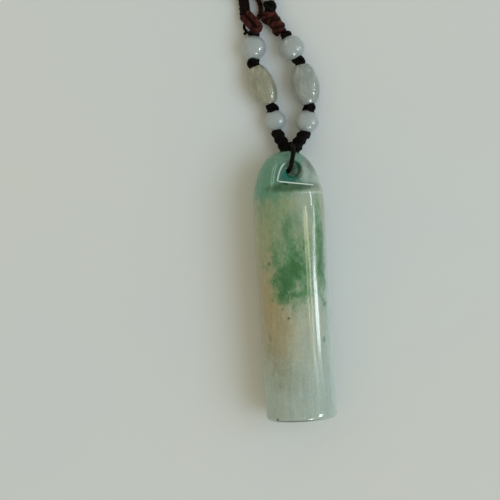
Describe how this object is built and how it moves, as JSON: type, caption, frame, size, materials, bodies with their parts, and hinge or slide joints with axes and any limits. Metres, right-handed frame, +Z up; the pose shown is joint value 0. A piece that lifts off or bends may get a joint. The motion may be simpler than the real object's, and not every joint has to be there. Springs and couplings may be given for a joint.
{
  "type": "jade cylinder amulet",
  "caption": "Long green and grey jade cylinder with a domed, pierced top, on a knotted string with round and barrel beads and a folded neck cord",
  "frame": {"origin": "on the table under the middle of the jade cylinder, which lies on the small flat spot of its side", "axes": "+Z up; +Y along the jade towards its domed, pierced end; +X to the right, seen from above with the dome away from the viewer"},
  "size_m": [0.0182, 0.1628, 0.0144],
  "materials": {
    "green_jade": "gloss",
    "white_jade": "gloss",
    "beige_jade": "gloss",
    "grey_jade": "gloss",
    "black_thread": "matte",
    "red_brown_thread": "matte",
    "dark_cord": "matte"
  },
  "bodies": {
    "root": {"jade_cylinder": "green_jade", "bead_string": "black_thread", "left_leg_wrap": "black_thread", "right_leg_wrap": "black_thread", "left_lower_bead": "white_jade", "right_lower_bead": "white_jade", "left_barrel_bead": "beige_jade", "right_barrel_bead": "grey_jade", "left_upper_bead": "white_jade", "right_upper_bead": "white_jade", "left_third_bead": "white_jade", "right_third_bead": "white_jade", "left_upper_string": "black_thread", "right_upper_string": "black_thread", "left_twist": "red_brown_thread", "right_twist": "red_brown_thread", "left_loose_strand": "red_brown_thread", "left_dark_wrap": "dark_cord", "left_neck_cord": "dark_cord", "right_neck_cord": "dark_cord", "neck_cord_hank": "dark_cord", "hank_tie": "black_thread"}
  },
  "joints": []
}
